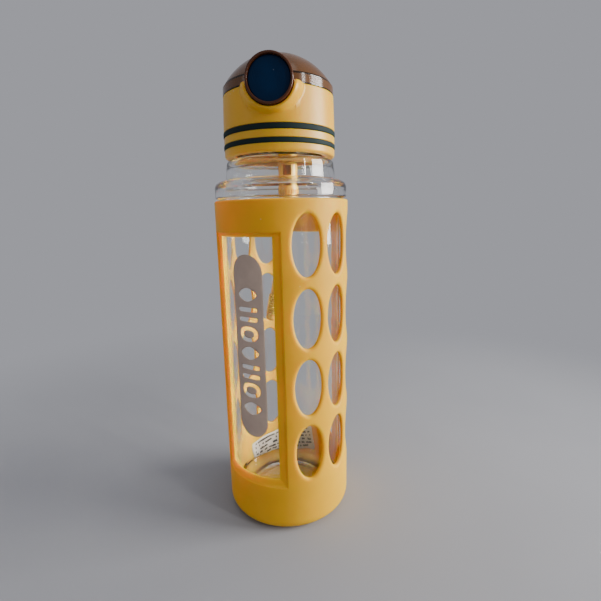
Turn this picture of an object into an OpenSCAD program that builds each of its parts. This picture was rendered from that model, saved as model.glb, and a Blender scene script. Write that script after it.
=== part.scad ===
// Glass drinking bottle with a silicone sleeve, a screw cap and a push-button flip cover.
// The origin is the centre of the base. +Z is up and -Y is the side with the push button.

/* [Bottle] */
// Outer radius of the glass body, under the sleeve
glass_r = 32.6; // [31.5:0.1:33]
// Wall thickness of the glass body
glass_wall = 2.4; // [2:0.1:3]
// Height where the shoulder ring of the glass starts
shoulder_z = 174.6; // [174.4:0.1:176]
// Radius of the shoulder ring, just above the sleeve
shoulder_r = 34.4; // [33.5:0.1:35]
// Radius of the clear collar under the cap
collar_r = 28.2; // [27.8:0.1:28.6]
// Inner radius of the mouth
mouth_r = 19.6; // [19:0.1:20]

/* [Sleeve] */
// Outer radius of the silicone sleeve
sleeve_r = 35; // [34.5:0.1:35.5]
// Height of the sleeve's rim
sleeve_h = 174.2; // [172:0.1:174.3]
// Thickness of the sleeve's floor
sleeve_floor = 2.5; // [2:0.1:3]
// Direction of the printed window, in degrees from -Y toward +X
window_az = -31.5; // [-40:0.5:-20]
// Half of the angle that a window spans at the glass
window_half = 30; // [28:0.5:31]
// Number of ovals in each column
oval_rows = 4; // [3:1:4]
// Vertical distance between two ovals
oval_pitch = 35.65; // [35:0.05:36]
// Half of an oval's width
oval_rx = 7.6; // [6:0.1:8]
// Half of an oval's height
oval_rz = 15; // [12:0.1:15.5]

/* [Cap] */
// Height of the cap's lower edge
cap_z = 195.2; // [194.8:0.1:195.6]
// Height of the parting line between cap and cover
cap_top = 224.1; // [223.5:0.1:224.5]
// Radius of the cap at its lower edge
cap_r = 28.2; // [27.9:0.1:28.4]
// Radius of the cap at the parting line
cap_top_r = 27.7; // [27.4:0.1:27.9]
// Pitch of the screw thread
thread_pitch = 4; // [3.6:0.1:4.2]
// Turns of thread on the neck and in the cap
thread_turns = 1.25; // [1:0.05:1.3]

/* [Cover] */
// Height of the very top of the domed cover
top_z = 244; // [243:0.1:245]
// Wall thickness of the cover
cover_wall = 1.8; // [1.6:0.1:2]
// Radius of the push button
button_r = 9.5; // [9.2:0.1:9.6]
// Radius of the ring round the push button
housing_r = 10.7; // [10.6:0.1:10.9]
// How far the push button travels
button_travel = 2; // [1:0.1:2.2]

/* [Straw] */
// Sideways distance of the straw's socket from the centre line
stem_x = 3.8; // [3:0.1:4.5]
// Outer radius of the straw
straw_r = 2.6; // [2.4:0.1:2.8]
// Angle at which the lower straw leans
straw_lean = 11.3; // [6:0.1:12]

/* [Hidden] */
$fn = 96;

// Fits: the sleeve leaves room for the print and the label, and shafts run with a small clearance
sleeve_in = glass_r + 0.15;
film = 0.1;
run_fit = 0.05;
touch = 0.15;
cut = 1; // how far a cutting solid passes the face it opens
far = 40; // reaches past every part, sideways from the centre line
small = 0.01; // lap or clearance that is too small to see

// Openings in the sleeve: [at the glass, at the outer face]
window_foot = [31, 27.1];
window_head = [156.8, 158.7];
window_flare = 7;
oval_top_z = 152.4;
oval_columns = [58, 90, 122];

// Bands round the cap: [lower edge, upper edge]
upper_band_z = [204.8, 207.4];
lower_band_z = [199, 201.3];
band_depth = 0.9;
band_proud = 0.25;
groove_fit = 0.05;

// Neck and mouth
collar_z0 = 184;
collar_z1 = 194.1;
neck_r = 22.2;
crest = 1.2;
neck_thread_z = 200;
cap_thread_z = 202;
thread_half = 0.9;
rim_z = 211.5;
gasket_t = 2;
deck_z = rim_z + gasket_t;
deck_t = 2.5;
deck_top = deck_z + deck_t;
insert_in = neck_r + crest + 0.2;
skirt_in = 25.2;
well_r = 25.5;
stem_hole = 4.2;
valve_hole = 2.2;

// Cover
rim_h = 4.4;
cap_round_z = cap_top + rim_h + 0.2;
cap_round_r = 27.1;
dome_h = top_z - cap_round_z;
dome_r = (cap_round_r * cap_round_r + dome_h * dome_h) / (2 * dome_h);
cover_z = cap_top + touch;

// Hinge at the back
hinge_y = 29.6;
hinge_z = cap_top;
knuckle_r = 2.8;
knuckle_fit = 0.3;
lug_z = 215.5;
pin_r = 1;
knuckle_half = 9.7;
inner_half = 5;
spring_half = 2.4;

// Push button, on an axis along Y
btn_z = cap_top + 0.4;
ring_front = -32.6;
ring_back = -26.8;
plate_t = 0.8;
face_y = -31.6;
press_gap = 0.4; // room left behind the button when it is pressed home
disc_back = ring_back - plate_t - button_travel - press_gap;
pocket_r = 4.6;
pocket_wall = 0.9;
pocket_back = -20.4;
stem_end = -17.4;
shaft_r = 2;
tube_back = -8;
tube_wall = 1.5;
spigot_r = housing_r - tube_wall - 0.15;
spigot_wall = 1.15;
hook_z0 = deck_top + 0.5;
hook_z1 = hook_z0 + 1.2;
catch_z0 = hook_z1 + 0.3;
catch_z1 = catch_z0 + 1;

// Straw
spout_h = 19;
stem_r = 5;
stem_y = 0.5;
stem_z0 = 176.5;
stem_bore = 2;
stem_window = [186, 192.2];
valve_at = [-11, -3];
bend_z = 172;
bend_r = 40;
straw_wall = 0.5;
tip_len = 15;
straw_end_z = 112;
lean_len = (bend_z - bend_r * sin(straw_lean) - straw_end_z) / cos(straw_lean);

// Turns a child made on the -Y side round the centre line
module at_az(az) { rotate([0, 0, az]) children(); }

// A cylinder along Y, from y0 to y1, with its axis at height z
module y_cyl(r, y0, y1, z, r_end = -1) {
    translate([0, y0, z]) rotate([-90, 0, 0])
        cylinder(h = y1 - y0, r1 = r, r2 = r_end < 0 ? r : r_end);
}

// A cylinder along X, centred on x = 0
module x_cyl(r, half, y, z) {
    translate([-half, y, z]) rotate([0, 90, 0]) cylinder(h = 2 * half, r = r);
}

// Points of an arc, from angle a0 to a1
function arc(cx, cz, r, a0, a1, n = 8) =
    [for (i = [0:n]) let (a = a0 + (a1 - a0) * i / n) [cx + r * cos(a), cz + r * sin(a)]];

// One ring of a thread's section, at turn t: root, crest and flanks
function thread_ring(t, turns, r_root, r_crest, z0, w) =
    let (a = 360 * t, z = z0 + thread_pitch * t,
         k = min(1, t * 12, (turns - t) * 12),
         rc = r_root + (r_crest - r_root) * max(0.02, k),
         rr = r_root - sign(r_crest - r_root) * 0.3)
    [for (p = [[rr, -w], [rc, -w / 2], [rc, w / 2], [rr, w]])
        [p[0] * cos(a), p[0] * sin(a), z + p[1]]];

// A screw thread: one section carried along a helix
module thread(r_root, r_crest, z0, w) {
    steps = ceil(thread_turns * 30);
    out = r_crest > r_root;
    pts = [for (i = [0:steps]) each
        thread_ring(thread_turns * i / steps, thread_turns, r_root, r_crest, z0, w)];
    sides = [for (i = [0:steps - 1], j = [0:3])
        let (a = 4 * i + j, b = 4 * i + (j + 1) % 4) out
            ? [a, b, b + 4, a + 4] : [a, a + 4, b + 4, b]];
    last = 4 * steps;
    ends = out ? [[3, 2, 1, 0], [last, last + 1, last + 2, last + 3]]
               : [[0, 1, 2, 3], [last + 3, last + 2, last + 1, last]];
    polyhedron(points = pts, faces = concat(sides, ends), convexity = 6);
}

// ---- bottle ----

module glass_bottle() {
    base_z = sleeve_floor;
    inner = glass_r - glass_wall;
    foot_r = 6;
    outline = concat(
        [[0, base_z + 1.2], [18, base_z + 0.8], [23, base_z]],
        arc(glass_r - foot_r, base_z + foot_r, foot_r, -90, 0),
        [[glass_r, shoulder_z]],
        arc(shoulder_r - 1, shoulder_z + 1.6, 1, -60, 0, 3),
        arc(shoulder_r - 3.6, 180.2, 3.6, 0, 78),
        [[collar_r + 0.8, collar_z0 - 0.4], [collar_r, collar_z0 + 0.6], [collar_r - 0.6, 191]],
        arc(collar_r - 3, collar_z1 - 2.2, 2.2, 12, 90, 5),
        [[neck_r + 0.8, collar_z1], [neck_r, collar_z1 + 0.8], [neck_r, rim_z - 1]],
        arc(neck_r - 1, rim_z - 1, 1, 0, 90, 4),
        [[mouth_r + 0.6, rim_z]],
        arc(mouth_r + 0.6, rim_z - 0.6, 0.6, 90, 180, 4),
        [[mouth_r, 197], [mouth_r + 0.8, 195.2], [24.6, 190], [25.4, 187], [25.6, 183]],
        arc(inner - 5, 177, 5, 60, 0, 6),
        arc(inner - 8, 15, 8, 0, -90),
        [[0, 7.6]]);
    color("azure", 0.35) {
        rotate_extrude() polygon(outline);
        thread(neck_r, neck_r + crest, neck_thread_z, thread_half);
    }
}

// ---- sleeve ----

// The space that a window takes, with flat-cut side edges
module window_cut() {
    a_in = window_half;
    a_out = window_half + window_flare;
    side = [[glass_r * sin(a_in), -glass_r * cos(a_in)],
            [sleeve_r * sin(a_out), -sleeve_r * cos(a_out)]];
    plan = [[-side[0][0], -27], [side[0][0], -27], side[0], side[1], [side[1][0] + 1, -40],
            [-side[1][0] - 1, -40], [-side[1][0], side[1][1]], [-side[0][0], side[0][1]]];
    edge = [[-20, window_foot[0]], [-sleeve_in, window_foot[0]], [-sleeve_r, window_foot[1]],
            [-40, window_foot[1]], [-40, window_head[1]], [-sleeve_r, window_head[1]],
            [-sleeve_in, window_head[0]], [-20, window_head[0]]];
    intersection() {
        linear_extrude(height = 200) polygon(plan);
        translate([-30, 0, 0]) rotate([90, 0, 90]) linear_extrude(height = 60) polygon(edge);
    }
}

// An oval hole through the sleeve's wall
module oval_cut(z) {
    translate([0, -glass_r + 8, z]) scale([oval_rx, 1, oval_rz]) rotate([90, 0, 0])
        cylinder(h = 14, r = 1);
}

module silicone_sleeve() {
    round_r = 7;
    outline = concat(
        [[0, 0.7], [21, 0.7], [22, 0]],
        arc(sleeve_r - round_r, round_r, round_r, -90, 0),
        arc(sleeve_r - 0.8, sleeve_h - 0.8, 0.8, 0, 90, 4),
        [[sleeve_in, sleeve_h], [sleeve_in, sleeve_floor + 5.8]],
        arc(sleeve_in - 5.8, sleeve_floor + 5.8, 5.8, 0, -90, 6),
        [[0, sleeve_floor]]);
    color("goldenrod") difference() {
        rotate_extrude() polygon(outline);
        for (side = [0, 180]) at_az(window_az + side) {
            window_cut();
            for (column = oval_columns, row = [0:oval_rows - 1])
                at_az(column) oval_cut(oval_top_z - oval_pitch * row);
        }
    }
}

// A patch of thin film on the glass: the space over a flat outline on the -Y side
module film_patch() {
    intersection() {
        rotate_extrude() translate([glass_r, 0]) square([film, 170]);
        translate([0, -20, 0]) rotate([90, 0, 0]) linear_extrude(height = 20) children();
    }
}

// Pill-shaped print on the glass, seen through the window
module print_panel() {
    half_w = 8.85;
    low = 53;
    high = 148.6;
    color("rosybrown") at_az(window_az + 5) film_patch() union() {
        translate([-half_w, low + half_w]) square([2 * half_w, high - low - 2 * half_w]);
        for (z = [low + half_w, high - half_w]) translate([0, z]) circle(r = half_w);
    }
}

// Paper label low on the back of the glass, a little askew, cut off where the glass rounds into its foot
module base_label() {
    half = [22, 8.8];
    middle_z = 15.5;
    low_z = 8.6;
    color("whitesmoke") at_az(195) film_patch() intersection() {
        translate([0, middle_z]) rotate(-10) translate(-half) square(2 * half);
        translate([-far, low_z]) square(2 * far);
    }
}

module neck_gasket() {
    color("white") translate([0, 0, rim_z]) difference() {
        cylinder(h = gasket_t, r = neck_r + 0.9);
        translate([0, 0, -cut]) cylinder(h = gasket_t + 2 * cut, r = mouth_r + 0.2);
    }
}

// ---- cap ----

module cap_shell() {
    foot_round = 1.2;
    rotate_extrude() polygon(concat(
        [[skirt_in, cap_z]], arc(cap_r - foot_round, cap_z + foot_round, foot_round, -90, 0),
        [[cap_r, 209],
         [cap_top_r, cap_top - 0.7], [cap_top_r - 0.7, cap_top], [well_r, cap_top],
         [well_r, deck_top], [0, deck_top], [0, deck_z], [skirt_in, deck_z]]));
}

// A ring from z0 to z1: a band, or the groove for one
module band_ring(z0, z1, r_in, r_out) {
    translate([0, 0, z0]) difference() {
        cylinder(h = z1 - z0, r = r_out);
        translate([0, 0, -cut]) cylinder(h = z1 - z0 + 2 * cut, r = r_in);
    }
}

// Bracket that joins a hinge knuckle to the back wall of the cap
module cap_lug(x0, x1) {
    translate([x0, 0, 0]) rotate([90, 0, 90]) linear_extrude(height = x1 - x0) polygon([
        [well_r + 0.1, lug_z], [cap_top_r + 0.1, lug_z], [hinge_y + knuckle_r * cos(-32),
        hinge_z + knuckle_r * sin(-32)], [hinge_y, hinge_z], [well_r + 0.1, hinge_z]]);
    translate([x0, hinge_y, hinge_z]) rotate([0, 90, 0]) cylinder(h = x1 - x0, r = knuckle_r);
}

module cap_body() {
    recess_r = housing_r + 0.3;
    lip_front = -31.2;
    lip_back = -24.2;
    lip_w = 1.5;
    lip_flare = 3.4;
    color("gold") difference() {
        union() {
            cap_shell();
            // cradle round the lower half of the button ring
            intersection() {
                y_cyl(recess_r + lip_w, lip_front, lip_back, btn_z, recess_r + lip_flare);
                difference() {
                    translate([-20, -35, 200]) cube([far, 15, cap_top - 200]);
                    translate([0, 0, 190]) cylinder(h = far, r = well_r + 0.1);
                }
            }
            for (s = [0, 1]) mirror([s, 0, 0]) cap_lug(inner_half + 0.2, knuckle_half);
        }
        for (band = [lower_band_z, upper_band_z])
            band_ring(band[0] - groove_fit, band[1] + groove_fit, cap_r - band_depth, cap_r + cut);
        y_cyl(recess_r, -far, ring_back + 0.2, btn_z);
        // notch that the button's pocket drops into
        open_slot(pocket_r + pocket_wall + 0.3, -30, -20);
        x_cyl(knuckle_r + knuckle_fit, inner_half + 0.2, hinge_y, hinge_z);
        x_cyl(pin_r + small, far / 2, hinge_y, hinge_z);
        translate([stem_x, stem_y, deck_z - 1]) cylinder(h = deck_t + 2, r = stem_hole);
        translate([valve_at[0], valve_at[1], deck_z - 1]) cylinder(h = deck_t + 2, r = valve_hole);
    }
}

// A round-bottomed slot, open upward, along Y
module open_slot(r, y0, y1) {
    y_cyl(r, y0, y1, btn_z);
    translate([-r, y0, btn_z]) cube([2 * r, y1 - y0, 20]);
}

module thread_insert() {
    color("khaki") {
        translate([0, 0, cap_z + 0.4]) difference() {
            cylinder(h = deck_z - cap_z - 0.4, r = skirt_in);
            translate([0, 0, -cut]) cylinder(h = 30, r = insert_in);
        }
        thread(insert_in, insert_in - crest, cap_thread_z, thread_half);
    }
}

module band(z) {
    color("darkslategray") band_ring(z[0], z[1], cap_r - band_depth, cap_r + band_proud);
}

module upper_band() { band(upper_band_z); }

module lower_band() { band(lower_band_z); }

module latch_catch() {
    color("dimgray") intersection() {
        translate([-4.5, -25.6, catch_z0]) cube([9, 3.4, catch_z1 - catch_z0]);
        translate([0, 0, 200]) cylinder(h = far, r = well_r);
    }
}

module hinge_pin() { color("silver") x_cyl(pin_r, knuckle_half, hinge_y, hinge_z); }

// Torsion spring on the pin: four touching coils and two legs
module hinge_spring() {
    wire = 0.45;
    coil_r = 1.75;
    $fn = 32;
    color("gainsboro") {
        for (i = [0:3]) translate([(i - 1.5) * (2 * wire + 0.04), hinge_y, hinge_z])
            rotate([0, 90, 0]) rotate_extrude() translate([coil_r, 0]) circle(r = wire);
        for (i = [0, 3]) translate([(i - 1.5) * (2 * wire + 0.04), hinge_y + coil_r, hinge_z])
            rotate([180, 0, 0]) cylinder(h = 3.4, r = wire + 0.06);
    }
}

// ---- drinking parts ----

module on_stem(z) { translate([stem_x, stem_y, z]) children(); }

module spout() {
    lip = 1.4;
    bore = 2.4;
    color("moccasin") on_stem(deck_top) rotate_extrude() polygon(concat(
        [[3.7, 0], [9, 0], [9, 1.6], [7, 2], [6.6, 4.2]],
        arc(3.6, 9.4, 3.6, -20, 50, 6),
        [[5, spout_h - 3.6]],
        arc(4, spout_h - lip, lip, 0, 90, 4),
        [[bore, spout_h - 0.4], [bore, 4], [3.7, 3]]));
}

module spout_collar() {
    color("gold") on_stem(deck_top + 2.1) difference() {
        cylinder(h = 1.4, r = 9.6);
        translate([0, 0, -cut]) cylinder(h = 4, r = 7.3);
    }
}

module vent_valve() {
    color("white") translate([valve_at[0], valve_at[1], 0]) {
        translate([0, 0, deck_top]) cylinder(h = 1, r = 3.4);
        translate([0, 0, deck_z - 0.2]) cylinder(h = deck_t + 0.4, r = valve_hole - 0.1);
        translate([0, 0, deck_z - 5]) cylinder(h = 5, r1 = 1, r2 = 3);
    }
}

module straw_stem() {
    color("gold") on_stem(0) difference() {
        union() {
            translate([0, 0, stem_z0]) cylinder(h = deck_z - stem_z0, r = stem_r);
            translate([0, 0, deck_z - 2]) cylinder(h = 2, r = 8);
            translate([0, 0, deck_z - small]) cylinder(h = deck_t + 2.6, r = 3.6);
            translate([0, 0, 181]) cylinder(h = 1.6, r = stem_r + 0.4);
            for (i = [0:23]) rotate([0, 0, 15 * i]) translate([stem_r - 0.3, -0.3, 177.5])
                cube([0.7, 0.6, 2.4]);
        }
        translate([0, 0, stem_z0 - 1]) cylinder(h = 9.1, r = straw_r + run_fit);
        translate([0, 0, stem_z0]) cylinder(h = 60, r = stem_bore);
        // window in the front of the stem, and a groove under it
        translate([-2.3, -10, stem_window[0]]) cube([4.6, 9.4, stem_window[1] - stem_window[0]]);
        translate([0, 0, 182.7]) difference() {
            cylinder(h = 1, r = stem_r + cut);
            translate([0, 0, -cut]) cylinder(h = 3, r = stem_r - 0.8);
        }
    }
}

// Moves a child from the straight part of the straw to the leaning part's own axis
module lean_frame() {
    on_stem(bend_z) translate([-bend_r, 0, 0]) rotate([0, straw_lean, 0])
        translate([bend_r, 0, 0]) children();
}

// A rod along the straw's path, with its own radius r_bend in the bend
module straw_path(r, r_bend, extend) {
    lap = 1;
    on_stem(bend_z - lap) cylinder(h = stem_z0 + 8 - bend_z + lap + extend, r = r);
    on_stem(bend_z) translate([-bend_r, 0, 0]) rotate([90, 0, 0])
        rotate([0, 0, -straw_lean]) rotate_extrude(angle = straw_lean) translate([bend_r, 0])
        circle(r = r_bend, $fn = 48);
    lean_frame() translate([0, 0, -lean_len - extend])
        cylinder(h = lean_len + lap + extend, r = r);
}

module straw() {
    color("khaki", 0.6) difference() {
        straw_path(straw_r, straw_r + 0.3, 0);
        straw_path(straw_r - straw_wall, straw_r - straw_wall - 0.1, 1);
    }
}

// Ribbed end piece on the straw, with a rounded foot
module straw_tip() {
    ribs = 9;
    rib_pitch = 1.3;
    rib_line = [for (i = [0:ribs - 1]) each [
        [straw_r + 0.25, i * rib_pitch + 3.2], [straw_r + 0.7, i * rib_pitch + 3.5],
        [straw_r + 0.7, i * rib_pitch + 3.9], [straw_r + 0.25, i * rib_pitch + 4.2]]];
    color("gold") lean_frame() translate([0, 0, -lean_len - 3]) rotate_extrude() polygon(concat(
        [[1.4, 0], [straw_r - 0.6, 0]],
        arc(straw_r - 0.8, 1.3, 1.3, -70, 0, 4),
        rib_line,
        [[straw_r + 0.4, tip_len], [straw_r + run_fit, tip_len],
         [straw_r + run_fit, 3], [1.4, 3]]));
}

// ---- cover ----

// Outer or inner surface of the domed cover, shrunk by t
module dome_solid(t) {
    rim = t > 0 ? [[cap_top_r - t, cap_round_z - 0.6]] : [
        [cap_top_r, cover_z + 0.5], [cap_top_r - 0.1, cap_round_z - 0.6],
        [cap_round_r - 0.2, cap_round_z - 0.5], [cap_round_r - 0.2, cap_round_z]];
    rotate_extrude() polygon(concat(
        [[0, cover_z - 2 * t], [cap_top_r - t, cover_z - 2 * t]], rim,
        arc(0, top_z - dome_r, dome_r - t, acos((cap_round_r - 0.3) / dome_r), 90, 20)));
}

module dome_cover() {
    web_y = 25;
    color("sienna", 0.75) difference() {
        union() {
            dome_solid(0);
            // tube that carries the button ring forward from the dome
            y_cyl(housing_r - 0.2, ring_back + 0.1, tube_back, btn_z);
            // webs of the cover's own hinge knuckles
            for (s = [0, 1]) mirror([s, 0, 0]) {
                translate([spring_half, 0, 0]) rotate([90, 0, 90])
                    linear_extrude(height = inner_half - spring_half) polygon([
                    [web_y, cover_z], [hinge_y, cover_z], [hinge_y, hinge_z + knuckle_r],
                    [web_y, hinge_z + 4]]);
                translate([spring_half, hinge_y, hinge_z]) rotate([0, 90, 0])
                    cylinder(h = inner_half - spring_half, r = knuckle_r);
            }
        }
        difference() {
            dome_solid(cover_wall);
            translate([stem_x, stem_y, 240]) cylinder(h = 10, r = 5.4);
        }
        // below the parting line the cover has only its hinge knuckles
        translate([-far, -far, 190]) cube([2 * far, far + well_r - 0.1, cover_z - 190]);
        // bore for the button housing
        y_cyl(housing_r - tube_wall - 0.1, -far, tube_back, btn_z);
        for (s = [0, 1]) mirror([s, 0, 0]) translate([inner_half + 0.05, hinge_y, hinge_z])
            rotate([0, 90, 0]) cylinder(h = 6, r = knuckle_r + knuckle_fit);
        x_cyl(knuckle_r + knuckle_fit, spring_half, hinge_y, hinge_z);
        x_cyl(pin_r + run_fit, far / 2, hinge_y, hinge_z);
    }
}

// Soft pad under the dome that closes the spout
module cover_seal() {
    pad_z = deck_top + spout_h + 0.25;
    color("white") on_stem(pad_z) {
        cylinder(h = 240 - pad_z, r = 5.2);
        translate([0, 0, 1.6]) cylinder(h = 1.2, r = 6);
    }
}

module button_housing() {
    color("saddlebrown") difference() {
        union() {
            y_cyl(housing_r, ring_front, ring_back, btn_z);
            y_cyl(pocket_r + pocket_wall, ring_back - small, pocket_back, btn_z);
            // spigot that fits the cover's tube
            intersection() {
                difference() {
                    y_cyl(spigot_r, ring_back - small, -24, btn_z);
                    y_cyl(spigot_r - spigot_wall, ring_back, -23, btn_z);
                }
                translate([-20, -40, cover_z + 0.05]) cube([40, 30, 30]);
            }
        }
        y_cyl(button_r + run_fit, ring_front - 1, ring_back - plate_t, btn_z);
        y_cyl(pocket_r, ring_back - plate_t - small, pocket_back - pocket_wall, btn_z);
        y_cyl(shaft_r + run_fit, -30, -10, btn_z);
    }
}

module button() {
    bulge = 0.5;
    ball_r = (button_r * button_r + bulge * bulge) / (2 * bulge);
    color("midnightblue") {
        translate([0, 0, btn_z]) rotate([90, 0, 0]) rotate_extrude() polygon(concat(
            [[0, -disc_back], [button_r, -disc_back]],
            arc(0, -face_y - ball_r, ball_r, 90 - asin(button_r / ball_r), 90, 6)));
        y_cyl(shaft_r, disc_back - small, stem_end, btn_z);
    }
}

// Compression spring between the button and the end of its pocket
module button_spring() {
    wire = 0.35;
    coils = 7;
    first = disc_back + wire;
    last = pocket_back - pocket_wall - wire;
    color("silver") for (i = [0:coils - 1])
        translate([0, first + (last - first) * i / (coils - 1), btn_z]) rotate([90, 0, 0])
            rotate_extrude() translate([3.1, 0]) circle(r = wire, $fn = 32);
}

module latch_hook() {
    color("dimgray") difference() {
        union() {
            y_cyl(3.4, stem_end - 1.8, stem_end, btn_z);
            translate([-3, stem_end - 1.6, hook_z0]) cube([6, 1.6, btn_z - hook_z0]);
            translate([-3, -21.4, hook_z0]) cube([6, 21.4 + stem_end, hook_z1 - hook_z0]);
        }
        y_cyl(shaft_r, -30, -10, btn_z);
    }
}

glass_bottle();
silicone_sleeve();
print_panel();
base_label();
neck_gasket();
cap_body();
thread_insert();
upper_band();
lower_band();
latch_catch();
hinge_pin();
hinge_spring();
spout();
spout_collar();
vent_valve();
straw_stem();
straw();
straw_tip();
dome_cover();
cover_seal();
button_housing();
button();
button_spring();
latch_hook();
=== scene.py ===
"""Glass drinking bottle in a silicone sleeve, with a screw cap and a push-button dome.

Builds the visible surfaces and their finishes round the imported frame."""

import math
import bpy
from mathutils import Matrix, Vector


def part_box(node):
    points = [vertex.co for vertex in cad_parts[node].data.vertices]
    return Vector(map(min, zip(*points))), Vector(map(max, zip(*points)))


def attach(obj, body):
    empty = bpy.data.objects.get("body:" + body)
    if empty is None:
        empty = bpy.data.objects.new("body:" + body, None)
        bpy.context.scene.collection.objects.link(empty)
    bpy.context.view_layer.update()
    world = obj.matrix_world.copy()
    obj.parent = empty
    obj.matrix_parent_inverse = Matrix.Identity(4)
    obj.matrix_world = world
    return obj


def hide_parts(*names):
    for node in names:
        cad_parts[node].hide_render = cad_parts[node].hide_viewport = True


bl_info = {
    "name": "Sleeved Glass Bottle",
    "version": (1, 0, 0),
    "blender": (4, 5, 0),
    "location": "3D Viewport > Sidebar > Bottle",
    "description": "Builds the surfaces and finishes of a sleeved glass bottle round its CAD frame",
    "category": "Add Mesh",
}

import bmesh
import bpy
import numpy as np
from mathutils import Matrix

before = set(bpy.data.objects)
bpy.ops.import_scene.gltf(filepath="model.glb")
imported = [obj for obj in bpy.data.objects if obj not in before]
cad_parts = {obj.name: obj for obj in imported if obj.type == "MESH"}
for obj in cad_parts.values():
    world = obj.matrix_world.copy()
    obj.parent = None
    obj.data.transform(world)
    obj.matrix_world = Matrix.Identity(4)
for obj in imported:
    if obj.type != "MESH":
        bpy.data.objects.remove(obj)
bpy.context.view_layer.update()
MM = 0.001
FILM = 0.06  # thickness of the print and of the label
FILM_LIFT = 0.1  # their outside above the glass
SLEEVE_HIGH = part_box("silicone_sleeve")[1]
CAP_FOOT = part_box("cap_body")[0].z / MM


# ---------------------------------------------------------------- surfaces


def around(azimuth, z, radius):
    """Points on a cylinder about Z: azimuth in degrees from -Y toward +X, height and radius as given."""
    a, z, radius = np.broadcast_arrays(np.radians(azimuth), z, radius)
    return np.stack([radius * np.sin(a), -radius * np.cos(a), z], -1)


def rounded_line(corners, steps=6, spacing=1.5):
    """An open line of (r, z, radius) corners. Each inner corner gives way to an arc of its radius that
    touches both of its sides, and long straight runs get a point every spacing millimetres."""
    c = np.array(corners, float)
    p, radius = c[1:-1, :2], c[1:-1, 2:3]
    back, ahead = c[:-2, :2] - p, c[2:, :2] - p
    back /= np.linalg.norm(back, axis=1, keepdims=True)
    ahead /= np.linalg.norm(ahead, axis=1, keepdims=True)
    half = 0.5 * np.arccos(np.clip((back * ahead).sum(1, keepdims=True), -0.99999, 0.99999))
    middle = (back + ahead) / np.linalg.norm(back + ahead, axis=1, keepdims=True)
    centre = p + middle * radius / np.sin(half)
    first = p + back * radius / np.tan(half) - centre
    last = p + ahead * radius / np.tan(half) - centre
    t = np.linspace(0, 1, steps + 1)[None, :, None]
    sweep = (math.pi - 2 * half)[:, :, None]
    arcs = centre[:, None] + (np.sin((1 - t) * sweep) * first[:, None] + np.sin(t * sweep)
                              * last[:, None]) / np.sin(sweep)
    line = np.concatenate([c[:1, :2], arcs.reshape(-1, 2), c[-1:, :2]])
    line = line[np.r_[True, np.linalg.norm(np.diff(line, axis=0), axis=1) > 1e-4]]
    along = np.r_[0, np.cumsum(np.linalg.norm(np.diff(line, axis=0), axis=1))]
    near = np.concatenate([along[:-1] + 0.12 * np.diff(along), along[1:] - 0.12 * np.diff(along)])
    wide = np.diff(along) > 0.6
    near = near[np.r_[wide, wide]]
    s = np.unique(np.round(np.concatenate([along, near, np.arange(0, along[-1], spacing)]), 4))
    s = s[np.r_[True, np.diff(s) > 0.02]]
    return np.stack([np.interp(s, along, line[:, 0]), np.interp(s, along, line[:, 1])], 1)


def revolved(line, columns=160, closed=False):
    """A line of (r, z) points carried round the Z axis, as a grid of columns by points."""
    azimuth = np.arange(columns) * 360 / columns
    if closed:
        line = np.concatenate([line, line[:1]])
    return around(azimuth[:, None], line[None, :, 1], line[None, :, 0])


def along_y(points, z):
    """A grid made about Z, turned to lie about an axis along Y at height z: its own z becomes y."""
    x, y, up = points[..., 0], points[..., 1], points[..., 2]
    return np.stack([-x, up, y + z], -1)


def quads(rows, columns, wrap_rows):
    """Quads between neighbouring points of a grid; wrap_rows joins the last row to the first."""
    i = np.arange(rows if wrap_rows else rows - 1)[:, None]
    j = np.arange(columns - 1)[None, :]
    a, b = i * columns, ((i + 1) % rows) * columns
    return np.stack([a + j, a + j + 1, b + j + 1, b + j], -1).reshape(-1, 4)


def piece(name, grids, body, material, replaces=(), weld=0.004, sharp=None, closed=True):
    """One mesh from grids of points in millimetres, each with its own wrap. Doubles are merged, so seams
    and poles close, and normals are turned outward. It rides on its body and stands for the CAD nodes that
    it replaces."""
    sizes = [g.shape[0] * g.shape[1] for g, _ in grids]
    starts = np.r_[0, np.cumsum(sizes)[:-1]]
    points = np.concatenate([g.reshape(-1, 3) for g, _ in grids]) * MM
    faces = np.concatenate([quads(g.shape[0], g.shape[1], wrap) + s for (g, wrap), s in zip(grids, starts)])
    mesh = bpy.data.meshes.new(name)
    mesh.from_pydata(points.tolist(), [], faces.tolist())
    bm = bmesh.new()
    bm.from_mesh(mesh)
    bmesh.ops.remove_doubles(bm, verts=bm.verts, dist=weld * MM)
    bmesh.ops.dissolve_degenerate(bm, edges=bm.edges, dist=1e-7)
    bmesh.ops.recalc_face_normals(bm, faces=bm.faces)
    open_edges = sum(not e.is_manifold for e in bm.edges)
    bm.to_mesh(mesh)
    bm.free()
    if closed and open_edges:
        raise RuntimeError(f"{name} has {open_edges} open edges")
    mesh.shade_smooth()
    if sharp:
        mesh.set_sharp_from_angle(angle=math.radians(sharp))
    obj = bpy.data.objects.new(name, mesh)
    bpy.context.scene.collection.objects.link(obj)
    mesh.materials.append(material)
    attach(obj, body)
    if replaces:
        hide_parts(*replaces)
    return obj


# ---------------------------------------------------------------- shader groups


def add(tree, kind, props=None, **inputs):
    """A shader node with its properties and inputs set; a socket given as an input is linked."""
    node = tree.nodes.new("ShaderNode" + kind)
    for key, value in (props or {}).items():
        setattr(node, key, value)
    for key, value in inputs.items():
        socket = node.inputs[int(key[1:]) if key[0] == "i" and key[1:].isdigit() else key.replace("_", " ")]
        if isinstance(value, bpy.types.NodeSocket):
            tree.links.new(value, socket)
        else:
            socket.default_value = value
    return node


def maths(tree, operation, *values):
    """One Math node; returns its output."""
    return add(tree, "Math", {"operation": operation},
               **{f"i{k}": v for k, v in enumerate(values)}).outputs[0]


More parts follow.
